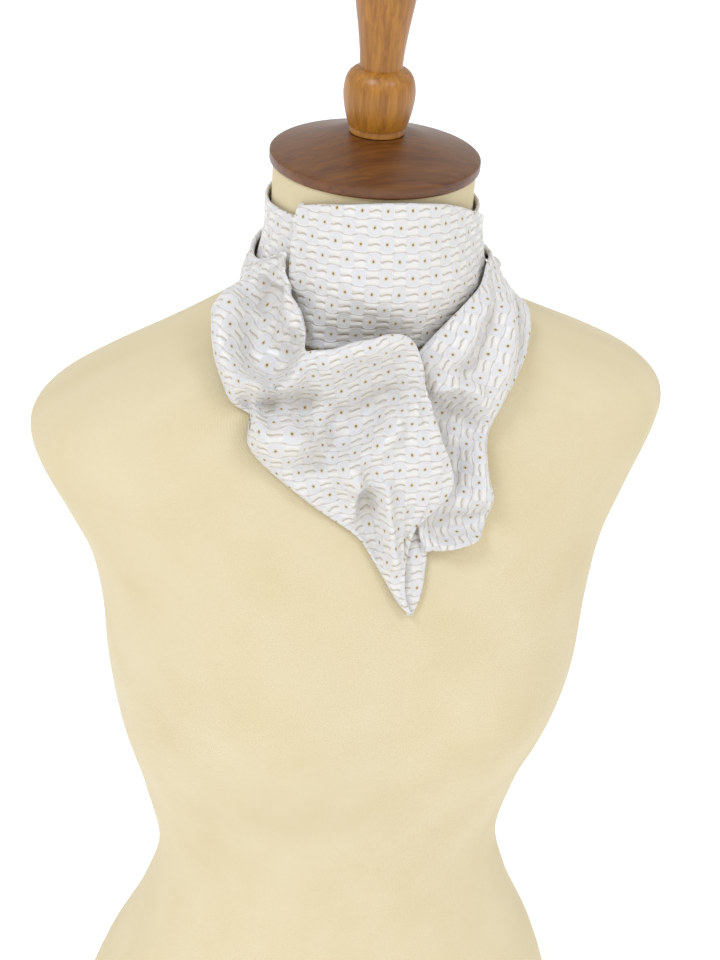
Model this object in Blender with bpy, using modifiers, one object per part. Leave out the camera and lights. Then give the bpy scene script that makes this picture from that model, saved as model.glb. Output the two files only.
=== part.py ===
"""A riding cravat in small-figured jacquard, tied round the neck of a limbless dress form.

The form stands on its flat base, with a turned wooden cap and finial on its neck. The cravat is
a neck band, a flat throat plate, and two draped ends that come round from the nape: the left one
swings across the front and falls in the middle, the right one lies under it.

Everything is measured on the form. A place is a turn in degrees round the neck's axis (0 is the
front, positive is towards +X), a drop in mm below the top of the cap's rim, and an out in mm that
the cloth's face stands off the form there. Metres only come in when the meshes are written.
"""

from collections import namedtuple
from math import atan2, cos, degrees, exp, pi, radians, sin

import bpy
import numpy as np
from mathutils import Vector
from mathutils.bvhtree import BVHTree

# Driving sizes, in mm
MM = 0.001
RIM_HEIGHT = 700.0        # the top of the cap's rim above the floor
AXIS_BACK = -0.4          # the neck's axis behind the middle of the whole thing's box
CLOTH = 1.0               # the jacquard's wall
SEAM_GAP = 0.3            # what stitched or seated pieces keep between them
FORM_GAP = 0.6            # air between the cloth and the form
LAYER_GAP = 0.5           # air between one layer of cloth and the next
TUCK = 0.95               # how much of the room under a rolled edge its tucked part takes
TUCK_REACH = 1.3          # how far the tucked part reaches back, against the roll's radius
ROLL_TURNS = 4            # faces round a rolled edge
ROLL_LEAST = 4.0          # the least that a rolled edge's face stands above its tucked part
ROLL_EASE = 8.0           # how far in from a rolled edge the face comes down from there
FORM_SIDES = 40
FORM_RING_STEP = 20.0     # mm between the form's rings
TURNED_SIDES = 30

# The dress form: half width, depth in front and behind, and how square each ring is
Ring = namedtuple("Ring", "drop half_width front back squareness")
FORM_RINGS = [
    Ring(6, 55.4, 55.4, 55.4, 2.0),
    Ring(40, 55.4, 55.4, 55.4, 2.0),
    Ring(58, 56, 55.6, 55.6, 2.0),
    Ring(70, 60, 56.5, 57.5, 2.0),
    Ring(80, 69, 57.5, 60, 2.0),
    Ring(90, 84, 58.5, 65, 2.0),
    Ring(100, 104, 60, 71, 2.0),
    Ring(112, 130, 62, 78, 2.05),
    Ring(125, 158, 65.5, 86, 2.15),
    Ring(138, 180, 69, 93, 2.25),
    Ring(152, 189, 73, 98, 2.3),
    Ring(170, 186, 79, 102, 2.3),
    Ring(200, 172, 90, 105, 2.25),
    Ring(232, 158, 100, 104, 2.2),
    Ring(270, 150, 110, 101, 2.2),
    Ring(318, 146, 113, 94, 2.2),
    Ring(365, 138, 102, 86, 2.15),
    Ring(415, 124, 86, 79, 2.1),
    Ring(470, 114, 78, 78, 2.1),
    Ring(520, 127, 84, 88, 2.15),
    Ring(575, 152, 94, 108, 2.2),
    Ring(630, 168, 98, 120, 2.25),
    Ring(700, 170, 95, 116, 2.3),
]
BUST_RISE, BUST_APART, BUST_WIDE, BUST_DROP, BUST_TALL = 14.0, 70.0, 46.0, 318.0, 62.0

# Turned wood: radius and height above the cap's rim, from the top down the outer side
Turning = namedtuple("Turning", "radius height")
CAP_PROFILE = [
    Turning(0, 11.8), Turning(18, 11.5), Turning(30, 8), Turning(45, 3.5), Turning(56.5, 0),
    Turning(57.5, -0.9), Turning(57.5, -5.1), Turning(56.6, -6), Turning(0, -6),
]
FINIAL_PROFILE = [
    Turning(0, 117), Turning(9, 115.5), Turning(15, 110), Turning(18, 101), Turning(17.6, 92),
    Turning(16.2, 83), Turning(14.4, 72), Turning(12.9, 62), Turning(12, 54), Turning(12.4, 50),
    Turning(14.6, 47), Turning(17.4, 44), Turning(19.4, 40), Turning(19.9, 35.5), Turning(19.4, 30),
    Turning(18.4, 24.5), Turning(17, 19), Turning(16.7, 16), Turning(16.5, 12.1), Turning(0, 12.1),
]

# A cut across a length of cloth, from its first edge over two points to its last edge, and how far
# it stands out at the first edge, in the middle and at the last edge
Cut = namedtuple("Cut", "step turn1 drop1 turn2 drop2 turn3 drop3 turn4 drop4 out1 out_mid out4")
# A fold: a soft ridge (positive rise) or trough along three points
Fold = namedtuple("Fold", "turn1 drop1 turn2 drop2 turn3 drop3 width rise")
# How far an edge is rolled under, in mm, at the first and last edge and at the first and last cut
Roll = namedtuple("Roll", "first last start end")

BAND_CUTS = [
    Cut(0, -173, 22, -173, 36, -173, 50, -173, 64, 1.6, 1.6, 1.6),
    Cut(1, 0, 22, 0, 36, 0, 50, 0, 64, 2.4, 2.4, 2.4),
    Cut(2, 187, 22, 187, 36, 187, 50, 187, 64, 3.2, 3.2, 3.2),
]
PLATE_CUTS = [
    Cut(0, -60, 16, -60, 40, -59, 64, -58, 86, 3.3, 4, 4),
    Cut(1, -40, 11, -40, 36, -40, 62, -40, 84, 4.8, 9, 6),
    Cut(2, -10, 8, -10, 32, -10, 56, -10, 79, 5, 12, 8),
    Cut(3, 20, 11, 20, 34, 20, 57, 20, 78, 5, 11, 8),
    Cut(4, 45, 19, 45, 37, 45, 57, 45, 76, 4.5, 7.5, 6),
    Cut(5, 69, 30, 69, 42, 68, 56, 67, 70, 3.3, 3.5, 4),
]
OVER_END_CUTS = [
    Cut(0, -178, 60, -178, 69, -178, 78, -178, 87, 5, 8, 5),
    Cut(1, -142, 60, -141, 70, -140, 81, -139, 92, 6, 11, 7),
    Cut(2, -112, 58, -109, 67, -106, 76, -102, 86, 6, 10, 8),
    Cut(3, -86, 48, -88, 60, -90, 73, -93, 84, 6, 13, 11),
    Cut(4, -63, 40, -70, 57, -77, 73, -84, 89, 5, 14, 13),
    Cut(5, -61, 50, -67, 66, -73, 81, -79, 95, 8, 12, 14),
    Cut(6, -55, 61, -61, 77, -66, 91, -72, 104, 12, 12, 14),
    Cut(7, -49, 74, -55, 89, -60, 103, -66, 115, 15, 13, 13),
    Cut(8, -44, 86, -49, 99, -54, 113, -59, 126, 18, 18, 10),
    Cut(9, -37, 89, -43, 107, -49, 124, -55, 139, 21, 20, 12),
    Cut(10, -28, 84, -35, 107, -43, 129, -50, 149, 24, 20, 11),
    Cut(11, -20, 79, -28, 108, -37, 136, -43, 159, 27, 20, 10),
    Cut(12, -13, 75, -20, 110, -29, 143, -33, 172, 29, 20, 9),
    Cut(13, -7, 73, -13, 112, -19, 150, -18, 188, 30, 20, 9),
    Cut(14, -2, 74, -7, 114, -13, 155, -11, 203, 30, 21, 8),
    Cut(15, 2, 79, 0, 117, -6, 159, -7, 213, 28, 22, 8),
    Cut(16, 5, 88, 8, 123, 8, 166, -4, 222, 26, 21, 8),
    Cut(17, 7, 97, 13, 130, 18, 172, -1, 229, 24, 20, 8),
]
OVER_END_FOLDS = [
    Fold(-62, 42, -76, 70, -84, 92, 10, 6),
    Fold(-59, 48, -68, 66, -71, 84, 4, -8),
    Fold(-53, 62, -56, 76, -50, 94, 8, 4),
    Fold(-64, 90, -57, 102, -48, 100, 8, -8),
    Fold(-76, 98, -64, 111, -54, 116, 7, 7),
    Fold(-54, 116, -46, 108, -43, 93, 7, 6),
    Fold(-2, 76, -20, 90, -44, 108, 10, 6),
    Fold(-60, 124, -48, 119, -36, 120, 5, -7),
    Fold(-36, 120, -28, 137, -42, 155, 8, -8),
    Fold(-52, 130, -46, 134, -42, 142, 13, 7),
    Fold(8, 103, -6, 112, -25, 134, 8, -5),
    Fold(11, 118, -16, 142, -40, 164, 9, 5),
    Fold(14, 132, 6, 150, 0, 172, 16, 4),
    Fold(-21, 147, -19, 165, -18, 188, 4, 4),
    Fold(-17, 152, -14.5, 172, -13, 198, 4, -12),
    Fold(-9, 165, -7, 190, -4, 212, 6, 3),
]
RIGHT_SWAG_CUTS = [
    Cut(0, 178, 60, 178, 69, 178, 78, 178, 86, 5, 8, 5),
    Cut(1, 142, 60, 141, 70, 140, 80, 139, 90, 6, 10, 7),
    Cut(2, 108, 57, 107, 67, 106, 77, 105, 86, 7, 12, 9),
    Cut(3, 80, 52, 82, 61, 83, 70, 84, 79, 8, 13, 11),
    Cut(4, 58, 50, 64, 58, 69, 66, 74, 74, 9, 15, 13),
    Cut(5, 44, 60, 51, 67, 58, 76, 66, 84, 12, 17, 16),
    Cut(6, 30, 67, 39, 76, 48, 85, 57, 93, 15, 20, 18),
    Cut(7, 20, 78, 30, 87, 41, 96, 51, 104, 15, 20, 18),
    Cut(8, 12, 92, 24, 100, 36, 108, 47, 115, 14, 18, 16),
    Cut(9, 6, 108, 19, 114, 32, 121, 42, 127, 10, 14, 14),
    Cut(10, 3, 124, 15, 129, 28, 134, 38, 139, 8, 11, 12),
    Cut(11, 2, 140, 13, 143, 25, 147, 35, 150, 7, 11, 11),
    Cut(12, 2, 156, 13, 158, 24, 161, 34, 163, 7, 12, 12),
    Cut(13, 3, 172, 13, 173, 24, 175, 33, 177, 7, 10, 12),
    Cut(14, 5, 186, 13, 188, 22, 190, 29, 192, 6, 9, 9),
    Cut(15, 8, 197, 14, 198, 20, 198, 26, 199, 6, 8, 8),
]
RIGHT_SWAG_FOLDS = [
    Fold(58, 58, 38, 82, 27, 104, 10, 5),
    Fold(11, 119, 27, 121, 38, 134, 5, -7),
    Fold(12, 108, 28, 112, 44, 119, 6, 3),
    Fold(20, 130, 21, 148, 23, 172, 5, -5),
    Fold(30, 140, 29, 160, 29, 178, 8, 5),
    Fold(8, 184, 18, 186, 28, 184, 4, -5),
    Fold(10, 192, 18, 193, 27, 191, 5, 3),
]
RIGHT_LOOP_CUTS = [
    Cut(0, 140, 80, 140, 84, 140, 88, 140, 92, 4, 6, 5),
    Cut(1, 115, 74, 115, 79, 115, 84, 114, 89, 4, 8, 7),
    Cut(2, 95, 70, 95, 75, 94, 80, 93, 85, 4, 9, 9),
    Cut(3, 76, 72, 78, 77, 80, 82, 81, 87, 4, 8, 11),
    Cut(4, 62, 80, 65, 85, 69, 90, 72, 95, 4, 7, 12),
    Cut(5, 52, 90, 55, 94, 59, 99, 62, 103, 4, 7, 11),
    Cut(6, 46, 103, 49, 106, 52, 110, 54, 113, 4, 6, 9),
    Cut(7, 42, 115, 44, 117, 46, 119, 48, 122, 4, 5, 6),
]
TAIL_CUTS = [
    Cut(0, -9, 172, -3, 172, 3, 172, 9, 172, 1.3, 1.3, 1.3),
    Cut(1, -8, 186, -2, 186, 4, 187, 9, 187, 2.4, 3.2, 2.4),
    Cut(2, -7, 199, -1, 200, 4, 200, 9, 200, 2.4, 3.2, 2.4),
    Cut(3, -5, 212, -1, 213, 3, 213, 7, 213, 2.4, 3.2, 2.4),
    Cut(4, -2, 224, 0, 225, 3, 225, 5, 225, 2.4, 3, 2.4),
    Cut(5, 1.2, 234, 1.7, 234, 2.2, 234, 2.7, 234, 2.4, 2.4, 2.4),
]
FALL_STARTS_AT = 8.0      # the step where the left end leaves the neck's side and becomes the fall


def clear_scene():
    """Takes everything out of the file this starts in."""
    for thing in list(bpy.data.objects):
        bpy.data.objects.remove(thing)


def painted(name, colour, roughness):
    """A plain material: linear colour and roughness."""
    material = bpy.data.materials.new(name)
    material.use_nodes = True
    shader = material.node_tree.nodes["Principled BSDF"]
    shader.inputs["Base Color"].default_value = (*colour, 1.0)
    shader.inputs["Roughness"].default_value = roughness
    shader.inputs["Metallic"].default_value = 0.0
    return material


def row_at(rows, place):
    """The row at a place along a table, on a smooth curve through its rows (first column)."""
    table = np.array(rows, float)
    key = table[:, 0]
    place = min(max(place, key[0]), key[-1])
    i = int(min(max(np.searchsorted(key, place) - 1, 0), len(key) - 2))

    def slope(j):
        before, after = max(j - 1, 0), min(j + 1, len(key) - 1)
        return (table[after] - table[before]) / (key[after] - key[before])

    span = key[i + 1] - key[i]
    t = (place - key[i]) / span
    return (
        (2 * t**3 - 3 * t**2 + 1) * table[i]
        + (t**3 - 2 * t**2 + t) * span * slope(i)
        + (3 * t**2 - 2 * t**3) * table[i + 1]
        + (t**3 - t**2) * span * slope(i + 1)
    )


def form_point(turn, drop):
    """The form's face, in mm from the neck's axis at the cap's rim."""
    _, half_width, front, back, squareness = row_at(FORM_RINGS, drop)
    across, ahead = sin(radians(turn)), cos(radians(turn))
    depth = front if ahead > 0 else back
    radius = ((abs(across) / half_width) ** squareness + (abs(ahead) / depth) ** squareness)
    radius **= -1 / squareness
    x, y = radius * across, -radius * ahead
    if ahead > 0:
        aside = (abs(x) - BUST_APART) / BUST_WIDE
        below = (drop - BUST_DROP) / BUST_TALL
        y -= BUST_RISE * exp(-(aside**2) - below**2) * min(1, 2 * ahead)
    return Vector((x, y, -drop))


def even_turn(share, drop):
    """A turn that spaces points evenly round the form's flattened rings."""
    ring = row_at(FORM_RINGS, drop)
    angle = 2 * pi * share
    depth = ring[2] if cos(angle) > 0 else ring[3]
    return degrees(atan2(ring[1] * sin(angle), depth * cos(angle)))


def form_normal(turn, drop):
    """The way that the form's face looks."""
    reach = 0.5
    sideways = form_point(turn + reach, drop) - form_point(turn - reach, drop)
    down = form_point(turn, drop + reach) - form_point(turn, drop - reach)
    return down.cross(sideways).normalized()


def cut_point(cut, share):
    """Turn, drop and out at a share of the way across a cut."""
    s = share
    weights = (
        -4.5 * (s - 1 / 3) * (s - 2 / 3) * (s - 1),
        13.5 * s * (s - 2 / 3) * (s - 1),
        -13.5 * s * (s - 1 / 3) * (s - 1),
        4.5 * s * (s - 1 / 3) * (s - 2 / 3),
    )
    turn = sum(w * cut[1 + 2 * k] for k, w in enumerate(weights))
    drop = sum(w * cut[2 + 2 * k] for k, w in enumerate(weights))
    out1, out_mid, out4 = cut[9:12]
    out = out1 * (1 - s) * (1 - 2 * s) + out_mid * 4 * s * (1 - s) + out4 * s * (2 * s - 1)
    return turn, drop, out


def fold_path(fold, count=14):
    """Points of a fold on the form's face, along the curve through its three places."""
    path = []
    for i in range(count):
        s = i / (count - 1)
        near, middle, far = (1 - s) * (1 - 2 * s), 4 * s * (1 - s), s * (2 * s - 1)
        turn = near * fold.turn1 + middle * fold.turn2 + far * fold.turn3
        drop = near * fold.drop1 + middle * fold.drop2 + far * fold.drop3
        path.append(form_point(turn, drop))
    return path


def fold_rise(place, fold, path):
    """What a fold adds to the cloth's out: full along its path, fading aside and at its ends."""
    nearest = min(range(len(path)), key=lambda i: (path[i] - place).length_squared)
    away = (path[nearest] - place).length
    if away > 3 * fold.width:
        return 0.0
    along = nearest / (len(path) - 1)
    fade = min(1.0, 0.35 + 2.6 * min(along, 1 - along))
    return fold.rise * fade * exp(-((away / fold.width) ** 2))


def rolled(count, roll_first, roll_last, length):
    """Shares across the cloth, with how deep each lies in a rolled edge and what share of the roll."""
    bend = []
    for k in range(1, ROLL_TURNS + 1):
        angle = pi * k / ROLL_TURNS
        inward = (1 - sin(angle)) * (1 if k <= ROLL_TURNS / 2 else TUCK_REACH)
        bend.append((inward, 1 - cos(angle)))
    shares = []
    if roll_first:
        shares += [(roll_first * a / length, roll_first * b, b / 2) for a, b in reversed(bend)]
    first, last = roll_first / length, 1 - roll_last / length
    shares += [(first + (last - first) * k / (count - 1), 0.0, 0.0) for k in range(count)]
    if roll_last:
        shares += [(1 - roll_last * a / length, roll_last * b, b / 2) for a, b in bend]
    return shares


def highest_under(turn, drop, under):
    """How far out the layers underneath come at a place."""
    foot, way = form_point(turn, drop), form_normal(turn, drop)
    reach = 70.0
    height = 0.0
    for tree in under:
        hit = tree.ray_cast(foot + way * reach, -way, reach)
        if hit[0] is not None:
            height = max(height, reach - hit[3])
    return height


def cloth_grid(cuts, folds, roll, across, lengthwise, start, end, under):
    """The points of a length of cloth, a list for each cut, clear of the layers under it."""
    paths = [fold_path(fold) for fold in folds]
    places = []
    middle = 0.5
    steps = [start + (end - start) * k / 200 for k in range(201)]
    spots = [form_point(*cut_point(row_at(cuts, step), middle)[:2]) for step in steps]
    run = [0.0]
    for a, b in zip(spots, spots[1:]):
        run.append(run[-1] + (b - a).length)
    for share, sunk_along, part_along in rolled(lengthwise, roll.start, roll.end, run[-1]):
        step = float(np.interp(share * run[-1], run, steps))
        cut = row_at(cuts, step)
        across_spots = [form_point(*cut_point(cut, k / 8)[:2]) for k in range(9)]
        width = sum((b - a).length for a, b in zip(across_spots, across_spots[1:]))
        first, last = min(roll.first, 0.3 * width), min(roll.last, 0.3 * width)
        column = []
        for s, sunk_across, part_across in rolled(across, first, last, width):
            turn, drop, out = cut_point(cut, s)
            foot = form_point(turn, drop)
            out += sum(fold_rise(foot, fold, path) for fold, path in zip(folds, paths))
            sunk = sunk_across + sunk_along
            part = 1 - (1 - TUCK * part_across) * (1 - TUCK * part_along)
            reaches = (
                (roll.first, s * width),
                (roll.last, (1 - s) * width),
                (roll.start, share * run[-1]),
                (roll.end, (1 - share) * run[-1]),
            )
            close = max(exp(-((away / ROLL_EASE) ** 2)) if edge else 0.0 for edge, away in reaches)
            column.append((turn, drop, out, sunk, part, ROLL_LEAST * close))
        places.append(column)
    floor = eased(
        np.array([[highest_under(place[0], place[1], under) for place in column] for column in places])
    )
    grid = []
    for column, heights in zip(places, floor):
        points = []
        for (turn, drop, out, sunk, part, thickness), height in zip(column, heights):
            least = height + CLOTH + (LAYER_GAP if height > 0 else FORM_GAP)
            top = max(out, least + thickness)
            out = top - min(sunk, part * (top - least))
            points.append(form_point(turn, drop) + form_normal(turn, drop) * out)
        grid.append(points)
    return grid


def eased(heights):
    """Heights that rise a little before a step in the layers below, so that cloth bridges it."""
    rows, columns = heights.shape
    around = [(i, j) for i in range(3) for j in range(3)]
    padded = np.pad(heights, 1, mode="edge")
    widest = np.max([padded[i:i + rows, j:j + columns] for i, j in around], axis=0)
    padded = np.pad(widest, 1, mode="edge")
    soft = np.mean([padded[i:i + rows, j:j + columns] for i, j in around], axis=0)
    return np.maximum(soft, heights)


def in_world(point):
    """From mm at the neck's axis to metres on the floor."""
    return ((point.x) * MM, (point.y + AXIS_BACK) * MM, (point.z + RIM_HEIGHT) * MM)


def new_object(name, mesh, material, group):
    """Links a mesh as a named object with its material."""
    mesh.materials.append(material)
    thing = bpy.data.objects.new(name, mesh)
    group.objects.link(thing)
    return thing


def cloth_piece(name, grid, material, group):
    """A wall of cloth whose outer face is the grid, with the height map of that face."""
    rows, columns = len(grid), len(grid[0])
    flat = [point for column in grid for point in column]
    faces = []
    for i in range(rows - 1):
        for j in range(columns - 1):
            a = i * columns + j
            faces.append((a, a + 1, a + columns + 1, a + columns))
    middle = (rows // 2) * columns + columns // 2
    sideways = flat[middle + columns] - flat[middle]
    outwards = (flat[middle + 1] - flat[middle]).cross(sideways)
    away = Vector((flat[middle].x, flat[middle].y, 0.0))
    if outwards.dot(away) < 0:
        faces = [tuple(reversed(face)) for face in faces]
    mesh = bpy.data.meshes.new(name)
    mesh.from_pydata([in_world(point) for point in flat], [], faces)
    mesh.shade_smooth()
    piece = new_object(name, mesh, material, group)
    wall = piece.modifiers.new("wall", "SOLIDIFY")
    wall.thickness = CLOTH * MM
    wall.offset = -1
    return BVHTree.FromPolygons(flat, faces)


def dress_form(material, group):
    """The torso and neck: rings from the neck's top to a flat base at the hips."""
    top, base = 6.0 + SEAM_GAP, RIM_HEIGHT
    count = int(round((base - top) / FORM_RING_STEP))
    points, faces = [], []
    for i in range(count + 1):
        drop = top + (base - top) * i / count
        for k in range(FORM_SIDES):
            points.append(in_world(form_point(even_turn(k / FORM_SIDES, drop), drop)))
    for i in range(count):
        for k in range(FORM_SIDES):
            after = (k + 1) % FORM_SIDES
            a, b = i * FORM_SIDES + k, i * FORM_SIDES + after
            faces.append((a, a + FORM_SIDES, b + FORM_SIDES, b))
    faces.append(tuple(range(FORM_SIDES)))
    faces.append(tuple(reversed(range(count * FORM_SIDES, (count + 1) * FORM_SIDES))))
    mesh = bpy.data.meshes.new("dress_form")
    mesh.from_pydata(points, [], faces)
    mesh.shade_smooth()
    mesh.set_sharp_from_angle(angle=radians(40))
    new_object("dress_form", mesh, material, group)


def turned_piece(name, profile, material, group):
    """A piece turned on a lathe, stood on the neck's axis."""
    mesh = bpy.data.meshes.new(name)
    points = [(turning.radius * MM, 0.0, turning.height * MM) for turning in profile]
    mesh.from_pydata(points, [(k, k + 1) for k in range(len(points) - 1)], [])
    piece = new_object(name, mesh, material, group)
    piece.location = (0.0, AXIS_BACK * MM, RIM_HEIGHT * MM)
    lathe = piece.modifiers.new("lathe", "SCREW")
    lathe.steps = TURNED_SIDES
    lathe.render_steps = TURNED_SIDES
    lathe.use_merge_vertices = True
    lathe.merge_threshold = 0.00001


def main():
    clear_scene()
    group = bpy.data.collections.new("cravat_on_form")
    bpy.context.scene.collection.children.link(group)
    canvas = painted("cream canvas", (0.80, 0.74, 0.62), 0.9)
    cap_wood = painted("walnut stained beech", (0.17, 0.065, 0.025), 0.35)
    finial_wood = painted("amber stained beech", (0.30, 0.13, 0.045), 0.35)
    jacquard = painted("ivory jacquard", (0.86, 0.83, 0.77), 0.5)

    dress_form(canvas, group)
    turned_piece("neck_cap", CAP_PROFILE, cap_wood, group)
    turned_piece("finial", FINIAL_PROFILE, finial_wood, group)

    plain = Roll(0, 0, 0, 0)
    band_grid = cloth_grid(BAND_CUTS, [], plain, 3, 56, 0, 2, [])
    band = cloth_piece("neck_band", band_grid, jacquard, group)
    plate_grid = cloth_grid(PLATE_CUTS, [], Roll(0, 2.5, 0, 0), 8, 20, 0, 5, [band])
    plate = cloth_piece("throat_plate", plate_grid, jacquard, group)
    loop_grid = cloth_grid(RIGHT_LOOP_CUTS, [], Roll(0, 4, 0, 0), 6, 24, 0, 7, [band, plate])
    loop = cloth_piece("right_loop", loop_grid, jacquard, group)
    tail_grid = cloth_grid(TAIL_CUTS, [], plain, 6, 10, 0, 5, [])
    tail = cloth_piece("tail", tail_grid, jacquard, group)
    swag_grid = cloth_grid(
        RIGHT_SWAG_CUTS, RIGHT_SWAG_FOLDS, Roll(3, 5, 0, 3), 9, 36, 0, 15, [band, plate, loop, tail]
    )
    swag = cloth_piece("right_swag", swag_grid, jacquard, group)
    under = [band, plate, tail, swag]
    seam = SEAM_GAP / 12
    left_grid = cloth_grid(
        OVER_END_CUTS, OVER_END_FOLDS, Roll(3, 5, 0, 0), 15, 24, 0, FALL_STARTS_AT - seam, under
    )
    cloth_piece("left_swag", left_grid, jacquard, group)
    fall_grid = cloth_grid(
        OVER_END_CUTS, OVER_END_FOLDS, Roll(3, 5, 0, 4), 15, 26, FALL_STARTS_AT + seam, 17, under
    )
    cloth_piece("centre_fall", fall_grid, jacquard, group)


main()
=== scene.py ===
"""A white jacquard riding cravat on a limbless dress form, seen from above its right shoulder."""

from math import cos, pi, radians, sin

import bmesh
import bpy
import numpy as np
from mathutils import Matrix, Vector, noise
from mathutils.bvhtree import BVHTree


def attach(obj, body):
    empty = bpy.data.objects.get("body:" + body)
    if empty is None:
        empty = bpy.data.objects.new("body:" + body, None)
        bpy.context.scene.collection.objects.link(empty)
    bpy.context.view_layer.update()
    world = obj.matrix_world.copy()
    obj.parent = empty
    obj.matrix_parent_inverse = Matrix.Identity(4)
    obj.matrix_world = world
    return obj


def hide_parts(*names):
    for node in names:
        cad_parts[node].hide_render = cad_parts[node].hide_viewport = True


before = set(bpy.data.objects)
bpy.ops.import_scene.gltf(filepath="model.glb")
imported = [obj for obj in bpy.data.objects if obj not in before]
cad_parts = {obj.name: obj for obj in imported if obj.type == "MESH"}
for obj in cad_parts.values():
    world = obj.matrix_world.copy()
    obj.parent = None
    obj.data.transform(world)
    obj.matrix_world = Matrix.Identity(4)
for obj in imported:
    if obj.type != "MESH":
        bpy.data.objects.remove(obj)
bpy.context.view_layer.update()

# The dress form: a padded torso shell covered in cream cotton canvas that is drawn tight over it,
# so that it shows a dull plain weave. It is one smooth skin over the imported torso, from under the
# neck cap to the flat base.
MM = 0.001
RIM_HEIGHT = 0.700
AXIS_BACK = -0.0004
FORM_TOP_DROP = 6.3
FORM_BASE_DROP = 700.0
SKIN_COLUMNS = 220
SKIN_ROWS = 260
MERGE_M = 1e-6
BASE_SHARP = radians(50)
FORM_RINGS = np.array([  # drop below the cap's rim, half width, front, back, squareness
    (6, 55.4, 55.4, 55.4, 2.0),
    (40, 55.4, 55.4, 55.4, 2.0),
    (58, 56, 55.6, 55.6, 2.0),
    (70, 60, 56.5, 57.5, 2.0),
    (80, 69, 57.5, 60, 2.0),
    (90, 84, 58.5, 65, 2.0),
    (100, 104, 60, 71, 2.0),
    (112, 130, 62, 78, 2.05),
    (125, 158, 65.5, 86, 2.15),
    (138, 180, 69, 93, 2.25),
    (152, 189, 73, 98, 2.3),
    (170, 186, 79, 102, 2.3),
    (200, 172, 90, 105, 2.25),
    (232, 158, 100, 104, 2.2),
    (270, 150, 110, 101, 2.2),
    (318, 146, 113, 94, 2.2),
    (365, 138, 102, 86, 2.15),
    (415, 124, 86, 79, 2.1),
    (470, 114, 78, 78, 2.1),
    (520, 127, 84, 88, 2.15),
    (575, 152, 94, 108, 2.2),
    (630, 168, 98, 120, 2.25),
    (700, 170, 95, 116, 2.3),
])
BUST_RISE, BUST_APART, BUST_WIDE, BUST_DROP, BUST_TALL = 14.0, 70.0, 46.0, 318.0, 62.0
CANVAS_PALE, CANVAS_DEEP = "#dccda6", "#d7c69a"
CANVAS_THREAD_MM = 1.6
CANVAS_TONE_PER_MM, CANVAS_SLUB_PER_MM = 0.02, 0.35
CANVAS_ROUND_MM = 140.0


def rows_at(table, places):
    """Rows at places along a table, on a smooth curve through its rows (first column)."""
    key = table[:, 0]
    places = np.clip(places, key[0], key[-1])
    slopes = np.empty_like(table)
    slopes[1:-1] = (table[2:] - table[:-2]) / (key[2:] - key[:-2])[:, None]
    slopes[0] = (table[1] - table[0]) / (key[1] - key[0])
    slopes[-1] = (table[-1] - table[-2]) / (key[-1] - key[-2])
    i = np.clip(np.searchsorted(key, places) - 1, 0, len(key) - 2)
    span = key[i + 1] - key[i]
    t = ((places - key[i]) / span)[..., None]
    span = span[..., None]
    return (
        (2 * t**3 - 3 * t**2 + 1) * table[i]
        + (t**3 - 2 * t**2 + t) * span * slopes[i]
        + (3 * t**2 - 2 * t**3) * table[i + 1]
        + (t**3 - t**2) * span * slopes[i + 1]
    )


def form_points(turn, drop):
    """The form's face at turns (degrees from the front) and drops (mm below the cap's rim)."""
    rings = rows_at(FORM_RINGS, drop)
    across, ahead = np.sin(np.radians(turn)), np.cos(np.radians(turn))
    depth = np.where(ahead > 0, rings[..., 2], rings[..., 3])
    square = rings[..., 4]
    radius = np.abs(across / rings[..., 1]) ** square + np.abs(ahead / depth) ** square
    radius = radius ** (-1 / square)
    x, y = radius * across, -radius * ahead
    aside = (np.abs(x) - BUST_APART) / BUST_WIDE
    below = (drop - BUST_DROP) / BUST_TALL
    y = y - BUST_RISE * np.exp(-(aside**2) - below**2) * np.clip(2 * ahead, 0, 1)
    return np.stack([x, y, -drop + 0 * x], -1)


def form_normals(turn, drop):
    """The way that the form's face looks."""
    reach = 0.5
    sideways = form_points(turn + reach, drop) - form_points(turn - reach, drop)
    down = form_points(turn, drop + reach) - form_points(turn, drop - reach)
    looks = np.cross(down, sideways)
    return looks / np.linalg.norm(looks, axis=-1, keepdims=True)


def to_world(points):
    """From mm at the neck's axis to metres on the floor."""
    return points * MM + np.array([0.0, AXIS_BACK, RIM_HEIGHT])


def linear(code):
    """A linear RGBA colour from an sRGB hex code."""
    parts = [int(code[k:k + 2], 16) / 255 for k in (1, 3, 5)]
    parts = [c / 12.92 if c <= 0.04045 else ((c + 0.055) / 1.055) ** 2.4 for c in parts]
    return (*parts, 1.0)


def node(tree, kind, settings, *inputs):
    """Adds a node with its settings and sockets by name, and its first sockets in order.

    A value that is a socket, or a node with one result, is linked, and any other is set."""
    made = tree.nodes.new(kind)
    for key, value in [*settings.items(), *enumerate(inputs)]:
        if isinstance(value, bpy.types.Node):
            value = value.outputs[0]
        if isinstance(value, bpy.types.NodeSocket):
            tree.links.new(value, made.inputs[key])
        elif isinstance(key, str) and hasattr(made, key):
            setattr(made, key, value)
        else:
            made.inputs[key].default_value = value
    return made


def material(name, settings):
    """A new material, its tree and its Principled shader, with settings by socket."""
    made = bpy.data.materials.new(name)
    made.use_nodes = True
    shader = made.node_tree.nodes["Principled BSDF"]
    for socket, value in settings.items():
        shader.inputs[socket].default_value = value
    return made, made.node_tree, shader


def add_piece(name, bm, finish, replaced):
    """Makes a finished bmesh a piece of the object that stands for CAD nodes."""
    mesh = bpy.data.meshes.new(name)
    bm.to_mesh(mesh)
    bm.free()
    mesh.shade_smooth()
    mesh.materials.append(finish)
    piece = bpy.data.objects.new(name, mesh)
    bpy.context.scene.collection.objects.link(piece)
    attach(piece, "root")
    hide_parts(*replaced)
    return piece


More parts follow.
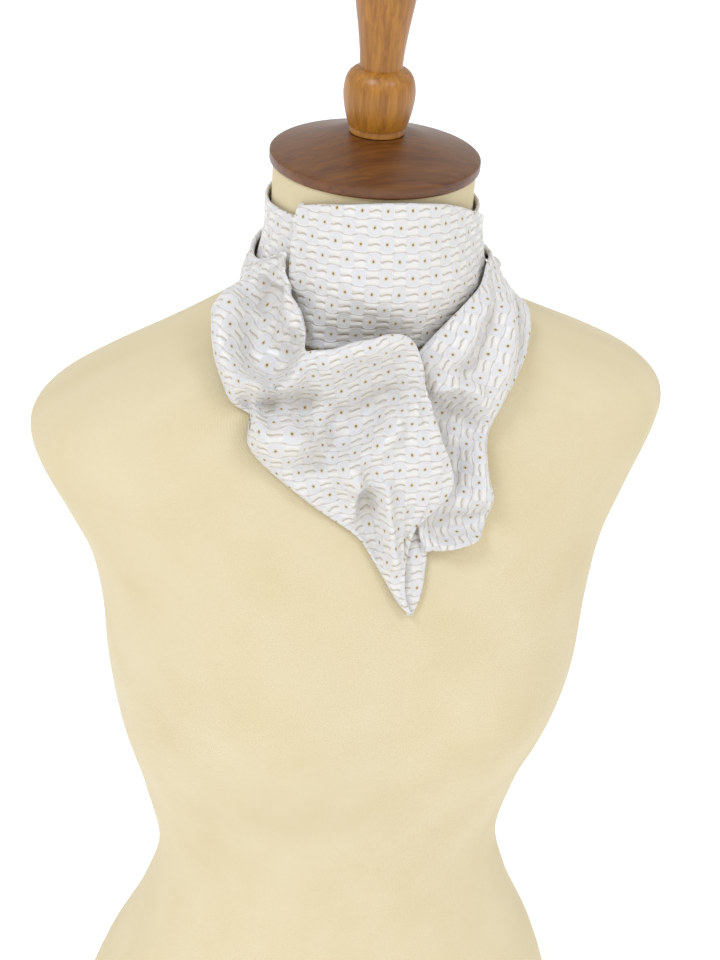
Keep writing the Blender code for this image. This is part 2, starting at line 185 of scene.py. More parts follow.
# Unbleached cotton, plain woven: matt and a little uneven in tone. Its threads lie about 0.8 mm
# apart, and they are drawn at 1.6 mm so that they show.
canvas, tree, shader = material(
    "cotton canvas, plain woven", {"Roughness": 0.88, "Sheen Weight": 0.15, "IOR": 1.5})
uv = node(tree, "ShaderNodeUVMap", {"uv_map": "cut"})
tone = node(tree, "ShaderNodeTexNoise", {"Scale": CANVAS_TONE_PER_MM, "Detail": 6.0, "Vector": uv})
ramp = node(tree, "ShaderNodeValToRGB", {"Fac": tone})
ramp.color_ramp.elements[0].position, ramp.color_ramp.elements[0].color = 0.3, linear(CANVAS_DEEP)
ramp.color_ramp.elements[1].position, ramp.color_ramp.elements[1].color = 0.7, linear(CANVAS_PALE)
parts = node(tree, "ShaderNodeSeparateXYZ", {"Vector": uv})
waves = []
for axis in ("X", "Y"):
    phase = node(tree, "ShaderNodeMath", {"operation": "MULTIPLY"},
                 parts.outputs[axis], 2 * pi / CANVAS_THREAD_MM)
    waves.append(node(tree, "ShaderNodeMath", {"operation": "SINE"}, phase))
weave = node(tree, "ShaderNodeMath", {"operation": "MULTIPLY"}, *waves)
slub = node(tree, "ShaderNodeTexNoise", {"Scale": CANVAS_SLUB_PER_MM, "Detail": 4.0, "Vector": uv})
rough_cloth = node(tree, "ShaderNodeMath", {"operation": "MULTIPLY_ADD"}, weave, 0.25, slub)
bump = node(tree, "ShaderNodeBump", {"Strength": 0.5, "Distance": 0.0004, "Height": rough_cloth})
tree.links.new(ramp.outputs["Color"], shader.inputs["Base Color"])
tree.links.new(bump.outputs["Normal"], shader.inputs["Normal"])

bm = bmesh.new()
cut_map = bm.loops.layers.uv.new("cut")
bmesh.ops.create_grid(bm, x_segments=SKIN_COLUMNS, y_segments=SKIN_ROWS, size=1, calc_uvs=True)
places = np.array([v.co for v in bm.verts])
drops = FORM_TOP_DROP + (FORM_BASE_DROP - FORM_TOP_DROP) * (1 - places[:, 1]) / 2
angle = pi * places[:, 0]
rings = rows_at(FORM_RINGS, drops)
depth = np.where(np.cos(angle) > 0, rings[:, 2], rings[:, 3])
turns = np.degrees(np.arctan2(rings[:, 1] * np.sin(angle), depth * np.cos(angle)))
for vertex, place in zip(bm.verts, to_world(form_points(turns, drops))):
    vertex.co = place
for face in bm.faces:
    for loop in face.loops:
        i = loop.vert.index
        loop[cut_map].uv = (angle[i] * CANVAS_ROUND_MM, -drops[i])
bmesh.ops.remove_doubles(bm, verts=bm.verts, dist=MERGE_M)
bmesh.ops.holes_fill(bm, edges=[e for e in bm.edges if e.is_boundary], sides=0)
bmesh.ops.recalc_face_normals(bm, faces=bm.faces)
form = add_piece("canvas_torso", bm, canvas, ["dress_form"])
form.data.set_sharp_from_angle(angle=BASE_SHARP)

# The neck cap and finial: turned beech, the cap stained walnut, the finial left amber, both under
# a satin varnish. The cap's disc is cut from a flat board, so its grain runs straight across it,
# and the finial is turned from a billet, so its grain runs up it.
WOOD_SIDES = 128
WOOD_SHARP = radians(40)
GRAIN_MM = 2.6
GRAIN_DRAWN_OUT = 0.07
FIGURE_PER_M = 70.0
WALNUT_PALE, WALNUT_DEEP = "#74440c", "#552b06"
AMBER_PALE, AMBER_DEEP = "#b47820", "#86510d"
CAP_PROFILE = [  # radius and height above the rim
    (0, 11.8), (10, 11.7), (18, 11.4), (24, 10), (30, 8), (38, 5.6), (45, 3.6), (51, 1.9),
    (55.4, 0.6), (56.8, 0.1), (57.4, -0.4), (57.5, -1), (57.5, -4.6), (57.1, -5.5), (56.4, -6),
    (0, -6),
]
FINIAL_PROFILE = [
    (0, 117), (5, 116.6), (9, 115.5), (13, 112.8), (15.6, 109.4), (17.4, 105), (18, 100.5),
    (17.6, 94), (16.6, 87), (15.3, 79), (14, 71), (12.8, 62.5), (12, 56), (11.6, 50), (11.6, 47.4),
    (13.2, 46.8), (14.9, 45.9), (16.6, 44.3), (17.9, 42.2), (18.8, 39.5), (19.3, 36.2), (19.4, 33),
    (19.1, 29.5), (18.6, 26.2), (18.1, 23.6), (17.4, 20.8), (16.7, 18.4), (16.2, 16.8), (15.8, 15.8),
    (15, 15.4), (15, 12.1), (0, 12.1),
]


def stained_wood(name, pale, deep, along):
    """Turned beech under stain and satin varnish: a soft shine over grain that runs along an axis."""
    made, tree, shader = material(
        name, {"Roughness": 0.42, "IOR": 1.5, "Coat Weight": 0.2, "Coat Roughness": 0.28})
    place = node(tree, "ShaderNodeTexCoord", {})
    stretch = [1.0, 1.0, 1.0]
    stretch[along] = GRAIN_DRAWN_OUT
    drawn = node(tree, "ShaderNodeMapping", {"Scale": stretch, "Vector": place.outputs["Object"]})
    fibre = node(tree, "ShaderNodeTexNoise", {
        "Scale": 1 / (GRAIN_MM * MM), "Detail": 8.0, "Roughness": 0.62, "Distortion": 0.4,
        "Vector": drawn})
    broad = node(tree, "ShaderNodeTexNoise", {"Scale": FIGURE_PER_M, "Detail": 3.0, "Vector": drawn})
    mixed = node(tree, "ShaderNodeMath", {"operation": "MULTIPLY_ADD"}, broad, 0.55, fibre)
    ramp = node(tree, "ShaderNodeValToRGB", {"Fac": mixed})
    ramp.color_ramp.elements[0].position, ramp.color_ramp.elements[0].color = 0.58, linear(deep)
    ramp.color_ramp.elements[1].position, ramp.color_ramp.elements[1].color = 0.95, linear(pale)
    bump = node(tree, "ShaderNodeBump", {"Strength": 0.12, "Distance": 0.0003, "Height": fibre})
    tree.links.new(ramp.outputs["Color"], shader.inputs["Base Color"])
    tree.links.new(bump.outputs["Normal"], shader.inputs["Normal"])
    return made


def turned(profile):
    """A solid turned on the neck's axis from its outer profile, top to bottom."""
    bm = bmesh.new()
    line = [bm.verts.new((radius * MM, AXIS_BACK, RIM_HEIGHT + height * MM))
            for radius, height in profile]
    edges = [bm.edges.new(pair) for pair in zip(line, line[1:])]
    bmesh.ops.spin(bm, geom=[*line, *edges], cent=(0, AXIS_BACK, 0), axis=(0, 0, 1),
                   angle=2 * pi, steps=WOOD_SIDES, use_merge=True)
    bmesh.ops.remove_doubles(bm, verts=bm.verts, dist=MERGE_M)
    bmesh.ops.recalc_face_normals(bm, faces=bm.faces)
    return bm


walnut = stained_wood("beech, walnut stain and varnish", WALNUT_PALE, WALNUT_DEEP, along=0)
amber = stained_wood("beech, amber stain and varnish", AMBER_PALE, AMBER_DEEP, along=2)
cap = add_piece("neck_cap_disc", turned(CAP_PROFILE), walnut, ["neck_cap"])
knob = add_piece("finial_knob", turned(FINIAL_PROFILE), amber, ["finial"])
for wood in (cap, knob):
    wood.data.set_sharp_from_angle(angle=WOOD_SHARP)

# The neck band: a folded strip of the cravat's jacquard that is lapped and fastened at the nape.
# The jacquard is white silk and viscose, woven in squares that are matt and satin in turn. A matt
# square has a raised rim and one gold point in its middle; a satin one is two bundles of floats.
CLOTH_MM = 0.6
LAYER_GAP_MM = 0.7
FORM_GAP_MM = 0.9
SETTLE_MM = 1.2
PUCKERS = [(16.0, 1.4), (7.0, 0.6)]
BAND_CUTS = np.array([  # step, then turn and drop of each place across, then the out of each
    (0, -173, 24, -173, 37, -173, 51, -173, 64, 1.6, 1.6, 1.8, 2),
    (1, -110, 26, -110, 38, -110, 51, -110, 64, 2, 2.5, 3.5, 4.5),
    (2, -75, 24, -75, 37, -75, 50, -75, 64, 2, 4, 6.5, 8),
    (3, -40, 22, -40, 36, -40, 50, -40, 64, 2, 2.2, 2.4, 2.4),
    (4, 0, 22, 0, 36, 0, 50, 0, 64, 2.4, 2.4, 2.4, 2.4),
    (5, 100, 25, 100, 38, 100, 51, 100, 64, 2.6, 2.8, 3, 3),
    (6, 187, 24, 187, 37, 187, 51, 187, 64, 3.2, 3.2, 3.2, 3.2),
])

# The woven pattern, in mm on the cloth, and in shares of a square where it goes from 0 to 1.
SQUARE_WIDE_MM, SQUARE_TALL_MM = 7.0, 9.0
SQUARE_SHAPE = 4.0
POINT_FLAT = 0.8
WANDER_MM, WANDER_PER_MM = 1.1, 0.22
THREAD_MM = 0.9
# The matt rim's tone, lighter than the square's, is a painted highlight along the raised rim.
MATT_WHITE, MATT_RIM_HIGHLIGHT = "#dad7d2", "#e1deda"
# The satin's groove tone, a darker tan, is painted shade.
SATIN_WHITE, SATIN_GROOVE_SHADE = "#e2ddd3", "#a69473"
GOLD_POINT, GOLD_HALO = "#8d6e32", "#d2c193"
MATH = "ShaderNodeMath"
ABSOLUTE, ADD, FRACT, MAXIMUM, MINIMUM, MULTIPLY, MULTIPLY_ADD, POWER, SINE, SQRT, SUBTRACT = (
    {"operation": name}
    for name in ("ABSOLUTE", "ADD", "FRACT", "MAXIMUM", "MINIMUM", "MULTIPLY", "MULTIPLY_ADD",
                 "POWER", "SINE", "SQRT", "SUBTRACT"))

jacquard, tree, shader = material("silk and viscose jacquard", {
    "IOR": 1.5, "Sheen Weight": 0.2, "Specular IOR Level": 0.5, "Coat Roughness": 0.3})
uv = node(tree, "ShaderNodeUVMap", {"uv_map": "cut"})
# No two squares come off the loom alike: the threads wander by up to 0.5 mm.
wander = node(tree, "ShaderNodeTexNoise", {"Scale": WANDER_PER_MM, "Detail": 3.0, "Vector": uv})
off_true = node(
    tree, "ShaderNodeVectorMath", MULTIPLY_ADD,
    wander.outputs["Color"], (WANDER_MM, WANDER_MM, 0), (-WANDER_MM / 2, -WANDER_MM / 2, 0))
woven = node(tree, "ShaderNodeVectorMath", ADD, uv, off_true)
parts = node(tree, "ShaderNodeSeparateXYZ", {"Vector": woven})
across, upward = parts.outputs["X"], parts.outputs["Y"]

# The matt squares lie on two lattices, each two squares apart, one half a step from the other.
matt_reach, centre_reach = [], []
for shift in (0.0, 0.5):
    offsets = []
    for value, size in ((across, SQUARE_WIDE_MM), (upward, SQUARE_TALL_MM)):
        squares = node(tree, MATH, MULTIPLY_ADD, value, 0.5 / size, 0.5 + shift)
        centred = node(tree, MATH, SUBTRACT, node(tree, MATH, FRACT, squares), 0.5)
        offsets.append(node(tree, MATH, MULTIPLY, centred, 2.0))
    powers = [node(tree, MATH, POWER, node(tree, MATH, ABSOLUTE, offset), SQUARE_SHAPE)
              for offset in offsets]
    matt_reach.append(node(tree, MATH, POWER, node(tree, MATH, ADD, *powers), 1 / SQUARE_SHAPE))
    wide = node(tree, MATH, MULTIPLY, offsets[0], SQUARE_WIDE_MM)
    tall = node(tree, MATH, MULTIPLY, offsets[1], SQUARE_TALL_MM * POINT_FLAT)
    squared = [node(tree, MATH, MULTIPLY, span, span) for span in (wide, tall)]
    centre_reach.append(node(tree, MATH, SQRT, node(tree, MATH, ADD, *squared)))
reach = node(tree, MATH, MINIMUM, *matt_reach)
centre = node(tree, MATH, MINIMUM, *centre_reach)

# A satin square is two bundles of floats: a deep groove waves between them, and a shallow one
# runs along each end. The grooves are laid in a darker tan, which is painted shade.
wing = node(tree, MATH, SINE, node(tree, MATH, MULTIPLY_ADD, across, 2 * pi / SQUARE_WIDE_MM, 0.6))
waving = node(tree, MATH, MULTIPLY_ADD, wing, 0.05, 0.5)
row_height = node(tree, MATH, FRACT, node(tree, MATH, MULTIPLY_ADD, upward, 1 / SQUARE_TALL_MM, 0.5))
off_middle = node(tree, MATH, ABSOLUTE, node(tree, MATH, SUBTRACT, row_height, waving))
off_centre = node(tree, MATH, ABSOLUTE, node(tree, MATH, SUBTRACT, row_height, 0.5))
off_end = node(tree, MATH, SUBTRACT, 0.5, off_centre)
edges = []
for value, at_none, at_full in (
        (reach, 0.52, 0.55), (reach, 0.42, 0.48), (centre, 0.7, 0.35), (centre, 1.5, 0.7),
        (off_middle, 0.085, 0.02), (off_end, 0.12, 0.05)):
    settings = {"interpolation_type": "SMOOTHSTEP", "From Min": at_none, "From Max": at_full}
    edges.append(node(tree, "ShaderNodeMapRange", settings, value))
satin, past_middle, point, halo, middle_groove_shade, end_groove_shade = edges
matt = node(tree, MATH, SUBTRACT, 1.0, satin)
# The rim is lifted, and the lighter tone laid on it is a painted highlight.
rim = node(tree, MATH, MULTIPLY, past_middle, matt)
# This mask only lays colour: the darker tan in the grooves is painted shade.
groove_shade = node(tree, MATH, MAXIMUM, middle_groove_shade, node(tree, MATH, MULTIPLY, end_groove_shade, 0.55))
groove_shade = node(tree, MATH, MULTIPLY, groove_shade, satin)
swell = node(tree, MATH, SINE, node(tree, MATH, MULTIPLY, row_height, 2 * pi))
bundle = node(tree, MATH, MULTIPLY, node(tree, MATH, ABSOLUTE, swell), satin)
# Threads lie 0.25 mm apart on the cloth; they are drawn at 0.9 mm so that they show.
weft, warp = (node(tree, MATH, SINE, node(tree, MATH, MULTIPLY, value, 2 * pi / THREAD_MM))
              for value in (upward, across))
weave = node(tree, MATH, MULTIPLY, node(tree, MATH, MULTIPLY, weft, warp), matt)

# Each colour lies over the last by its share, and each part lifts the face by its height.
tint = linear(MATT_WHITE)
for colour, share in (
        (MATT_RIM_HIGHLIGHT, rim), (SATIN_WHITE, satin), (SATIN_GROOVE_SHADE, node(tree, MATH, MULTIPLY, groove_shade, 0.6)),
        (GOLD_HALO, node(tree, MATH, MULTIPLY, halo, 0.75)), (GOLD_POINT, point)):
    laid = node(tree, "ShaderNodeMix", {"data_type": "RGBA", 6: tint, 7: linear(colour)}, share)
    tint = laid.outputs[2]
rise = node(tree, MATH, MULTIPLY, rim, 0.3)
for share, height in ((bundle, 1.2), (matt, 0.45), (weave, 0.08), (point, 0.5)):
    rise = node(tree, MATH, MULTIPLY_ADD, share, height, rise)
bump = node(tree, "ShaderNodeBump", {"Strength": 0.9, "Distance": 0.0006, "Height": rise})
roughness = node(tree, MATH, MULTIPLY_ADD, satin, -0.34, 0.72)
gloss = node(tree, MATH, MULTIPLY, satin, 0.3)
tree.links.new(tint, shader.inputs["Base Color"])
tree.links.new(bump.outputs["Normal"], shader.inputs["Normal"])
tree.links.new(roughness.outputs[0], shader.inputs["Roughness"])
tree.links.new(gloss.outputs[0], shader.inputs["Coat Weight"])

# How a length of cloth is laid: samples along it and across it, and its folds and rolled edges.
PATH_STEPS, CUT_STEPS, FOLD_STEPS = 400, 90, 28
FOLD_START, FOLD_GAIN = 0.25, 3
CREASE_BLUNT, CREASE_TOP = 0.15, 0.387
ROLL_TURNS = 8
ROLL_EASE_MM = 8.0
ROLL_SHARE = 0.3
TUCK, TUCK_REACH = 0.95, 1.3
TIP_FROM, TIP_FADE, TIP_LEAST = 0.85, 2.5, 0.1
EASE_CELLS = 2
PROBE_MM = 70.0
UNWRAP_ROUNDS = 8
PATCH_M = 0.02


def fold_rise(feet, fold):
    """What a fold adds to the out of places: round if it rises, sharp if it sinks."""
    turn1, drop1, turn2, drop2, turn3, drop3, width, rise = fold
    s = np.linspace(0, 1, FOLD_STEPS)
    near, middle, far = (1 - s) * (1 - 2 * s), 4 * s * (1 - s), s * (2 * s - 1)
    path = form_points(near * turn1 + middle * turn2 + far * turn3,
                       near * drop1 + middle * drop2 + far * drop3)
    away = np.full(feet.shape[:-1], 1e9)
    along = np.zeros_like(away)
    for at, (a, b) in enumerate(zip(path, path[1:])):
        run = b - a
        t = np.clip(((feet - a) @ run) / (run @ run), 0, 1)
        reach = np.linalg.norm(feet - (a + t[..., None] * run), axis=-1)
        closer = reach < away
        away = np.where(closer, reach, away)
        along = np.where(closer, (at + t) / (len(path) - 1), along)
    fade = np.clip(FOLD_START + FOLD_GAIN * np.minimum(along, 1 - along), 0, 1)
    fade = fade * fade * (3 - 2 * fade)
    beyond = (away / width) ** 2
    shape = np.exp(-beyond) if rise > 0 else np.exp(-np.sqrt(beyond + CREASE_BLUNT) + CREASE_TOP)
    return rise * fade * shape


def rolled(count, roll_first, roll_last, length):
    """Shares across the cloth, with how deep each lies in a rolled edge and what share of the roll."""
    bend = []
    for k in range(1, ROLL_TURNS + 1):
        angle = pi * k / ROLL_TURNS
        inward = (1 - sin(angle)) * (1 if k <= ROLL_TURNS / 2 else TUCK_REACH)
        bend.append((inward, 1 - cos(angle)))
    rows = []
    if roll_first:
        rows += [(roll_first * a / length, roll_first * b, b / 2) for a, b in reversed(bend)]
    first, last = roll_first / length, 1 - roll_last / length
    rows += [(first + (last - first) * k / (count - 1), 0.0, 0.0) for k in range(count)]
    if roll_last:
        rows += [(1 - roll_last * a / length, roll_last * b, b / 2) for a, b in bend]
    return rows


def cut_curve(cut, shares):
    """Turn, drop and out at shares of the way across a cut, through all its places."""
    count = (len(cut) - 1) // 3
    places = np.column_stack([np.arange(count), cut[1:1 + 2 * count:2], cut[2:2 + 2 * count:2],
                              cut[1 + 2 * count:]])
    return rows_at(places, np.asarray(shares) * (count - 1))[:, 1:]


def arc_length(points):
    """How far each point lies along the line through all of them."""
    return np.concatenate([[0], np.cumsum(np.linalg.norm(np.diff(points, axis=0), axis=1))])


def laid_out(cuts, roll, across, lengthwise):
    """The turn, drop and out of places over a length of cloth, and how its rolled edges lie there.

    Those are how deep each place is sunk, the share of its out that this may take, and how far
    the roll holds it off what lies below."""
    steps = np.linspace(cuts[0, 0], cuts[-1, 0], PATH_STEPS)
    middles = np.array([cut_curve(cut, [0.5])[0] for cut in rows_at(cuts, steps)])
    run = arc_length(form_points(middles[:, 0], middles[:, 1]))
    fine = np.linspace(0, 1, CUT_STEPS)
    columns = []
    for share, sunk_along, part_along in rolled(lengthwise, roll[2], roll[3], run[-1]):
        curve = cut_curve(rows_at(cuts, np.interp([share * run[-1]], run, steps))[0], fine)
        turn, drop, out = curve.T
        tape = arc_length(form_points(turn, drop) + form_normals(turn, drop) * out[:, None])
        width = max(tape[-1], 1.0)
        first, last = (min(edge, ROLL_SHARE * width) for edge in roll[:2])
        rows = np.array(rolled(across, first, last, width))
        places = [np.interp(rows[:, 0] * width, tape, line) for line in (turn, drop, out)]
        tip = np.clip(TIP_FADE * (TIP_FROM - rows[:, 0]), TIP_LEAST, 1)
        close = np.zeros(len(rows))
        for edge, away in ((roll[0], rows[:, 0] * width), (roll[1], (1 - rows[:, 0]) * width),
                           (roll[2], share * run[-1]), (roll[3] * tip, (1 - share) * run[-1])):
            close = np.maximum(close, edge * np.exp(-((away / ROLL_EASE_MM) ** 2)))
        part = 1 - (1 - TUCK * rows[:, 2]) * (1 - TUCK * part_along)
        columns.append(np.stack([*places, rows[:, 1] + sunk_along, part, close], -1))
    return np.moveaxis(np.array(columns), -1, 0)


def heights_under(feet, ways, layers):
    """How far the highest layer stands off the form at each place, and 0 where there is none."""
    heights = np.zeros(feet.shape[:2])
    for i, j in np.ndindex(heights.shape):
        foot, way = Vector(feet[i, j]), Vector(ways[i, j])
        for layer in layers:
            hit = layer.ray_cast(foot + way * PROBE_MM, -way, PROBE_MM)
            if hit[0] is not None:
                heights[i, j] = max(heights[i, j], PROBE_MM - hit[3])
    return heights


def eased(heights):
    """Heights that rise a little before a step in the layers below, so that cloth bridges it."""
    rows, columns = heights.shape
    around = list(np.ndindex(2 * EASE_CELLS + 1, 2 * EASE_CELLS + 1))
    padded = np.pad(heights, EASE_CELLS, mode="edge")
    widest = np.max([padded[i:i + rows, j:j + columns] for i, j in around], axis=0)
    padded = np.pad(widest, EASE_CELLS, mode="edge")
    soft = np.mean([padded[i:i + rows, j:j + columns] for i, j in around], axis=0)
    return np.maximum(soft, heights)


def read_numbers(items, name, each, kind=float):
    """One property of every item, as rows of numbers."""
    values = np.empty(len(items) * each, kind)
    items.foreach_get(name, values)
    return values.reshape(-1, each)


def spread(u, v):
    """Twice the area between two flat ways."""
    return u[:, 0] * v[:, 1] - u[:, 1] * v[:, 0]


def lay_pattern(piece, grain):
    """Flattens the cloth as it was cut and turns the map so that its weft runs as grain says.

    grain is a turn and a drop on the form, and the weft's heading there: sideways round the form,
    turned by an angle towards up."""
    mesh = piece.data
    bpy.context.view_layer.objects.active = piece
    for other in bpy.context.selected_objects:
        other.select_set(False)
    piece.select_set(True)
    bpy.ops.object.mode_set(mode="EDIT")
    bpy.ops.mesh.select_all(action="SELECT")
    bpy.ops.uv.unwrap(method="MINIMUM_STRETCH", iterations=UNWRAP_ROUNDS, margin=0.0)
    bpy.ops.object.mode_set(mode="OBJECT")
    layer = mesh.uv_layers[0]
    flat = read_numbers(layer.data, "uv", 2)
    corner = read_numbers(mesh.loops, "vertex_index", 1, int)[:, 0]
    spots = read_numbers(mesh.vertices, "co", 3)
    quads = np.array([[*face.loop_indices] for face in mesh.polygons])
    a, b, c, d = (flat[quads[:, k]] for k in range(4))
    p, q, r, s = (spots[corner[quads[:, k]]] for k in range(4))
    map_area = (spread(b - a, c - a) + spread(c - a, d - a)) / 2
    real_area = np.linalg.norm(np.cross(q - p, r - p) + np.cross(r - p, s - p), axis=1) / 2
    turn, drop, heading = grain
    centres = (p + q + r + s) / 4
    face = int(np.argmin(np.linalg.norm(centres - to_world(form_points(turn, drop)), axis=1)))
    near = np.linalg.norm(centres - centres[face], axis=1) < PATCH_M
    scale = np.sqrt(real_area[near].sum() / np.abs(map_area[near]).sum()) / MM
    if map_area.sum() < 0:
        flat[:, 0] *= -1
    aside = form_points(turn + 0.5, drop) - form_points(turn - 0.5, drop)
    upwards = np.cross(form_normals(turn, drop), aside)
    aside, upwards = aside / np.linalg.norm(aside), upwards / np.linalg.norm(upwards)
    ways = centres[near] - centres[face]
    marks = ((flat[quads[:, 0]] + flat[quads[:, 2]]) / 2)[near]
    local = np.column_stack([ways @ aside, ways @ upwards, np.ones(len(ways))])
    fit = np.linalg.lstsq(local, marks, rcond=None)[0]
    drawn = cos(radians(heading)) * fit[0] + sin(radians(heading)) * fit[1]
    lean = np.arctan2(drawn[1], drawn[0])
    turned_back = np.array([[np.cos(lean), -np.sin(lean)], [np.sin(lean), np.cos(lean)]])
    flat = (flat - flat[quads[face][0]]) @ turned_back * scale
    layer.data.foreach_set("uv", flat.ravel())


def drape(name, cuts, folds, roll, across, lengthwise, under, replaced, grain):
    """A length of cloth laid on the form and on the layers under it, with the map of its cut.

    roll gives the size in mm of the rolled edges at both sides and both ends."""
    turn, drop, out, sunk, part, close = laid_out(cuts, roll, across, lengthwise)
    feet, ways = form_points(turn, drop), form_normals(turn, drop)
    for fold in folds:
        out = out + fold_rise(feet, fold)
    for size, deep in PUCKERS:
        out = out + deep * np.array([[noise.noise(Vector(foot) / size) for foot in line]
                                     for line in feet])
    heights = eased(heights_under(feet, ways, under))
    least = heights + CLOTH_MM + np.where(heights > 0, LAYER_GAP_MM, FORM_GAP_MM)
    spare = out - least - close
    top = least + close + (spare + np.sqrt(spare**2 + 4 * SETTLE_MM**2)) / 2
    out = top - np.minimum(sunk, part * (top - least))
    points = feet + ways * out[..., None]
    last_along, last_across = out.shape[0] - 1, out.shape[1] - 1
    bm = bmesh.new()
    bm.loops.layers.uv.new("cut")
    bmesh.ops.create_grid(bm, x_segments=last_along, y_segments=last_across, size=1, calc_uvs=True)
    for vertex in bm.verts:
        i = round((vertex.co.x + 1) / 2 * last_along)
        j = round((1 - vertex.co.y) / 2 * last_across)
        vertex.co = points[i, j]
    bm.faces.ensure_lookup_table()
    bm.normal_update()
    outward = Vector(ways[out.shape[0] // 2, out.shape[1] // 2])
    if bm.faces[len(bm.faces) // 2].normal.dot(outward) < 0:
        bmesh.ops.reverse_faces(bm, faces=bm.faces)
    layer = BVHTree.FromBMesh(bm)
    placed = Matrix.Translation((0, AXIS_BACK, RIM_HEIGHT)) @ Matrix.Scale(MM, 4)
    bmesh.ops.transform(bm, matrix=placed, verts=bm.verts)
    piece = add_piece(name, bm, jacquard, replaced)
    lay_pattern(piece, grain)
    wall = piece.modifiers.new("cloth", "SOLIDIFY")
    wall.thickness = CLOTH_MM * MM
    wall.offset = -1
    return piece, layer


band, band_layer = drape(
    "band_round_neck", BAND_CUTS, folds=[], roll=(1.5, 0, 0, 0), across=12, lengthwise=220,
    under=[], replaced=["neck_band"], grain=(0, 40, 0))

# The throat plate: a flat panel of the jacquard over a stiff lining, sewn to the band at both
# sides. It stands up under the cap, bows forward in the middle, and its lower edge turns back.
PLATE_CUTS = np.array([
    (0, -60, 16.5, -60, 40, -59, 64, -58, 89, 4, 5, 5, 3),
    (1, -40, 10.5, -40, 36, -40, 62, -40, 91, 5.5, 9, 11, 2),
    (2, -10, 6.5, -10, 33, -10, 59, -10, 89, 5.5, 10, 14, 2),
    (3, 20, 9.5, 20, 35, 20, 60, 20, 90, 5.5, 10, 14, 2),
    (4, 45, 19.5, 45, 40, 45, 61, 45, 86, 5, 8, 11, 3),
    (5, 66, 30, 66, 44, 66, 60, 66, 78, 4.2, 6.5, 9, 7),
    (6, 82, 38, 82, 48, 82, 60, 82, 72, 3, 5, 7, 6),
])
plate, plate_layer = drape(
    "throat_panel", PLATE_CUTS, folds=[], roll=(1.5, 2.5, 2, 0), across=50, lengthwise=110,
    under=[band_layer], replaced=["throat_plate"], grain=(-10, 45, 0))

# The loop on the left shoulder: the outer turn of the right end, which lies on the form beside
# the neck and goes under the swag.
LOOP_CUTS = np.array([
    (0, 140, 80, 140, 84, 140, 88, 140, 92, 4, 6, 6, 5),
    (1, 115, 74, 115, 79, 115, 84, 114, 89, 4, 8, 8, 7),
    (2, 95, 70, 95, 75, 94, 80, 93, 85, 4, 9, 10, 9),
    (3, 76, 72, 78, 77, 80, 82, 81, 87, 4, 8, 11, 11),
    (4, 62, 80, 65, 85, 69, 90, 72, 95, 4, 7, 10, 12),
    (5, 52, 90, 55, 94, 59, 99, 62, 103, 4, 7, 10, 11),
    (6, 46, 103, 49, 106, 52, 110, 54, 113, 4, 6, 8, 9),
    (7, 42, 115, 44, 117, 46, 119, 48, 122, 4, 5, 6, 6),
])
loop, loop_layer = drape(
    "outer_loop", LOOP_CUTS, folds=[], roll=(0, 4, 0, 0), across=30, lengthwise=110,
    under=[band_layer, plate_layer], replaced=["right_loop"], grain=(70, 92, 40))

# The tail: the pointed tip of the end that lies underneath, showing below the fall. It hangs
# flat on the form.
TAIL_CUTS = np.array([
    (0, -9, 172, -3, 172, 3, 172, 9, 172, 1.3, 1.3, 1.3, 1.3),
    (1, -8, 186, -2, 186, 4, 187, 9, 187, 2.4, 3.4, 3.8, 2.8),
    (2, -7, 199, -1, 200, 4, 200, 9, 200, 2.4, 3.6, 4.6, 3.4),
    (3, -5, 212, -1, 213, 3, 213, 7.5, 213, 2.4, 3.4, 4.6, 3.4),
    (4, -2, 224, 0, 225, 3, 225, 5.5, 225, 2.4, 3.2, 4, 3),
    (5, 1.2, 235, 1.7, 235, 2.2, 235, 2.7, 235, 2.6, 2.8, 2.8, 2.6),
])
tail, tail_layer = drape(
    "under_tip", TAIL_CUTS, folds=[], roll=(0, 0, 0, 0), across=26, lengthwise=60,
    under=[], replaced=["tail"], grain=(0, 195, 0))

# The right end: it comes round from the nape, swings down over the plate's edge in a soft roll,
# and hangs in a lobe that turns under at the bottom.
RIGHT_CUTS = np.array([
    (0, 179.7, 52, 179.7, 61, 179.7, 70, 179.7, 79, 5, 8, 8, 5),
    (1, 142, 54, 141, 63, 140, 72, 139, 81, 5, 9, 9, 7),
    (2, 108, 58, 107, 67, 106, 76, 105, 86, 7, 12, 12, 9),
    (3, 80, 54, 82, 62, 83, 70, 84, 79, 8, 13, 14, 11),
    (4, 58, 52, 64, 59, 69, 67, 74, 75, 9, 15, 17, 14),
    (5, 44, 59, 51, 67, 58, 76, 66, 86, 12, 17, 20, 17),
    (6, 30, 67, 39, 76, 48, 86, 57, 95, 15, 20, 22, 19),
    (7, 20, 76, 30, 87, 41, 97, 51, 106, 16, 21, 23, 19),
    (8, 9, 88, 23, 100, 36, 109, 47, 117, 13, 19, 21, 17),
    (9, 3, 104, 18, 112, 32, 121, 42, 128, 9, 16, 19, 16),
    (10, 3, 124, 15, 129, 28, 134, 37, 140, 6, 7, 11, 13),
    (11, 2, 140, 13, 143, 25, 148, 34, 151, 6, 7, 13, 14),
    (12, 2, 156, 13, 158, 24, 162, 33, 164, 6, 6, 13, 15),
    (13, 3, 172, 13, 173, 24, 175, 33, 177, 6, 8, 14, 15),
    (14, 5, 187, 13, 189, 22, 190, 30, 190, 4, 4, 7, 8),
    (15, 7, 200, 14, 200, 20, 199, 26, 198, 8, 11, 11, 9),
])
RIGHT_FOLDS = [  # turn and drop at its start, middle and end, width and rise in mm
    (46, 54, 33, 76, 20, 103, 7, 6),
    (52, 77, 46, 101, 39, 122, 6, 5),
    (42, 76, 35, 95, 24, 110, 6, -7),
    (14, 130, 27, 131, 32, 147, 8, -8),
    (10, 117, 25, 110, 36, 129, 5, 7),
    (25, 142, 24, 155, 22, 174, 6, -6),
    (31, 138, 30, 159, 29, 180, 6, 6),
    (12, 185, 22, 188, 32, 184, 5, -11),
    (9, 195, 20, 197, 30, 191, 4.5, 7),
]
